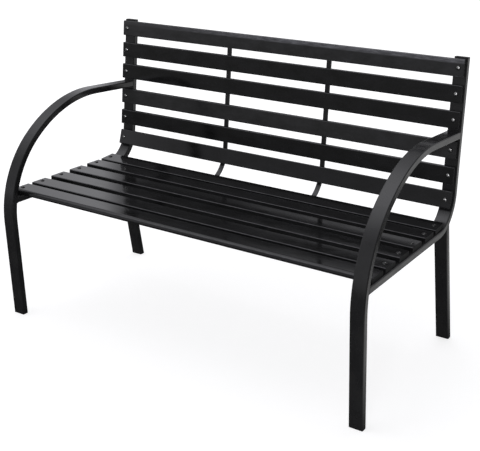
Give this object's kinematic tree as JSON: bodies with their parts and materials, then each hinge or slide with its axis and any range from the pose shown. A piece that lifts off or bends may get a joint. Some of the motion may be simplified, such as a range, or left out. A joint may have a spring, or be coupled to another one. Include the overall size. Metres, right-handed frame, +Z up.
{
  "type": "garden bench",
  "caption": "Slatted garden bench with bent flat-tube side frames whose front legs sweep up into arms, and slats bolted across the seat and back.",
  "frame": {"origin": "on the floor, under the middle of the bench's bounding box", "axes": "+X runs along the bench to the left hand of the person who sits on it, +Y points from the front of the seat to the back, +Z up"},
  "size_m": [1.22, 0.6354, 0.8651],
  "materials": {
    "frame_paint": "satin charcoal powder coat on steel tube and flat bar",
    "slat_paint": "black gloss paint on planed softwood",
    "plated_steel": "zinc-plated bolts and nuts",
    "plug_plastic": "black moulded tube plugs"
  },
  "bodies": {
    "root": {"arm_leg_left": "frame_paint", "seat_back_rail_left": "frame_paint", "rear_leg_left": "frame_paint", "middle_support_left": "frame_paint", "foot_plug_front_left": "plug_plastic", "foot_plug_rear_left": "plug_plastic", "top_plug_left": "plug_plastic", "arm_leg_right": "frame_paint", "seat_back_rail_right": "frame_paint", "rear_leg_right": "frame_paint", "middle_support_right": "frame_paint", "foot_plug_front_right": "plug_plastic", "foot_plug_rear_right": "plug_plastic", "top_plug_right": "plug_plastic", "seat_slat_1": "slat_paint", "back_slat_1": "slat_paint", "seat_slat_2": "slat_paint", "back_slat_2": "slat_paint", "seat_slat_3": "slat_paint", "back_slat_3": "slat_paint", "seat_slat_4": "slat_paint", "back_slat_4": "slat_paint", "seat_slat_5": "slat_paint", "back_slat_5": "slat_paint", "seat_slat_6": "slat_paint", "back_slat_6": "slat_paint", "seat_bolts_left": "plated_steel", "seat_nuts_left": "plated_steel", "seat_bolts_right": "plated_steel", "seat_nuts_right": "plated_steel", "back_bolts_left": "plated_steel", "back_nuts_left": "plated_steel", "back_bolts_right": "plated_steel", "back_nuts_right": "plated_steel"}
  },
  "joints": []
}
